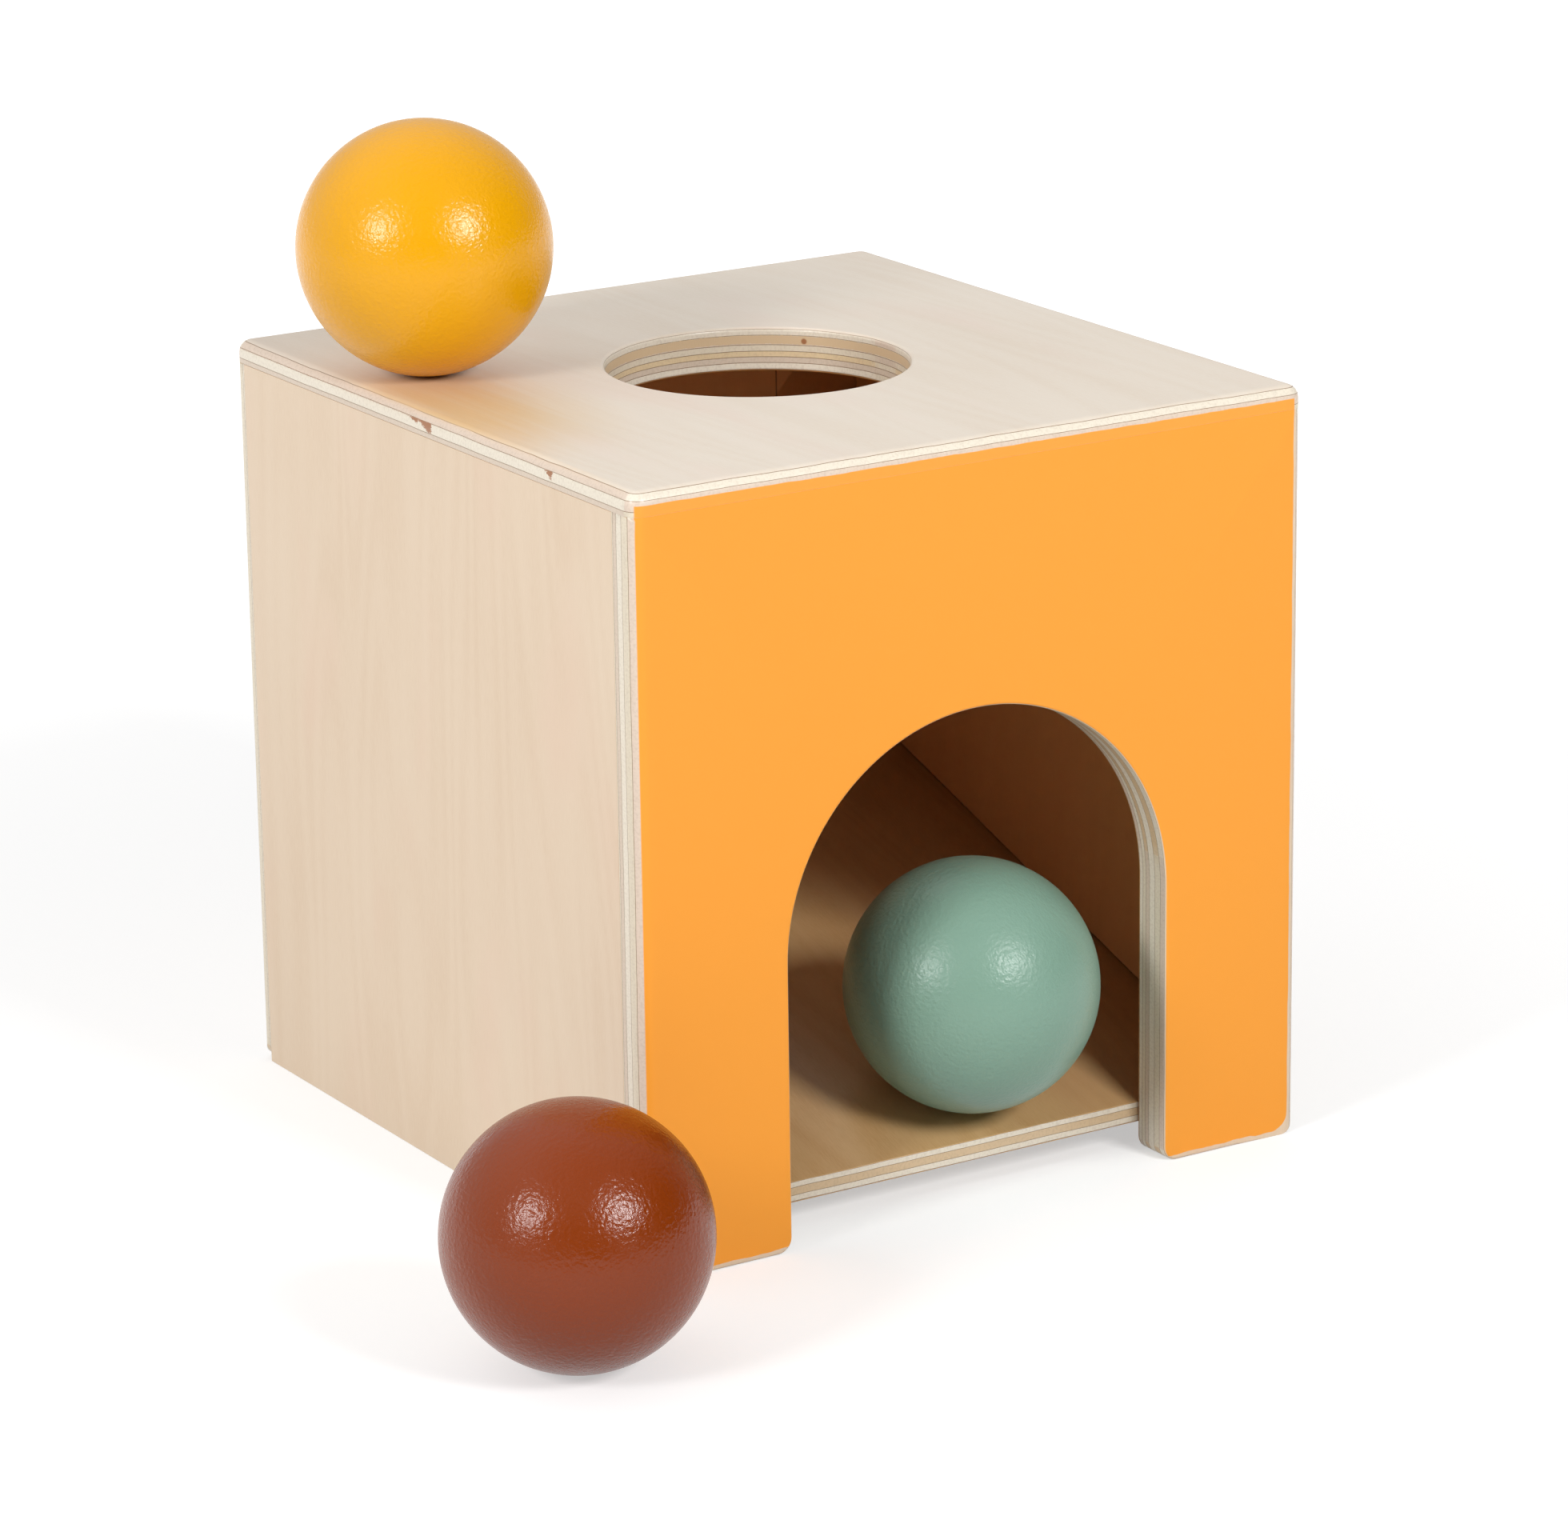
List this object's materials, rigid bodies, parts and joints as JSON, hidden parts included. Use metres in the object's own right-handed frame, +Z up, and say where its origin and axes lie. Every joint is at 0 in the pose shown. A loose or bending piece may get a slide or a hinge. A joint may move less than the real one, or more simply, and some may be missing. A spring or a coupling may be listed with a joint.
{
  "type": "ball drop box",
  "caption": "Plywood box with a round hole on top, a ramp inside and an arched way out in its painted front, with loose painted wooden balls that drop in and roll out.",
  "frame": {"origin": "on the table, in the middle of the rectangle that the box and its balls cover at rest", "axes": "+X to the right seen from the front, +Y from the front board to the back board, +Z up"},
  "size_m": [0.2046, 0.207, 0.202],
  "materials": {
    "birch_plywood": "sanded, clear matt",
    "orange_painted_plywood": "satin paint",
    "yellow_painted_wood": "satin paint",
    "green_painted_wood": "satin paint",
    "brown_painted_wood": "satin paint"
  },
  "bodies": {
    "box": {"top_board": "birch_plywood", "front_board": "orange_painted_plywood", "back_board": "birch_plywood", "left_side": "birch_plywood", "right_side": "birch_plywood", "ramp_board": "birch_plywood"},
    "ball_on_top": {"yellow_ball": "yellow_painted_wood"},
    "ball_on_ramp": {"green_ball": "green_painted_wood"},
    "ball_on_table": {"brown_ball": "brown_painted_wood"}
  },
  "joints": [
    {"name": "yellow_ball_roll", "type": "slide", "parent": "box", "child": "ball_on_top", "axis": [0.9006, -0.4348, 0], "range_m": [-0.012, 0.0644]},
    {"name": "green_ball_roll", "type": "slide", "parent": "box", "child": "ball_on_ramp", "axis": [0, -0.9511, -0.309], "range_m": [-0.11, 0.044]},
    {"name": "brown_ball_roll", "type": "slide", "parent": "box", "child": "ball_on_table", "axis": [-1, 0, 0], "range_m": [-0.06, 0.1]}
  ]
}
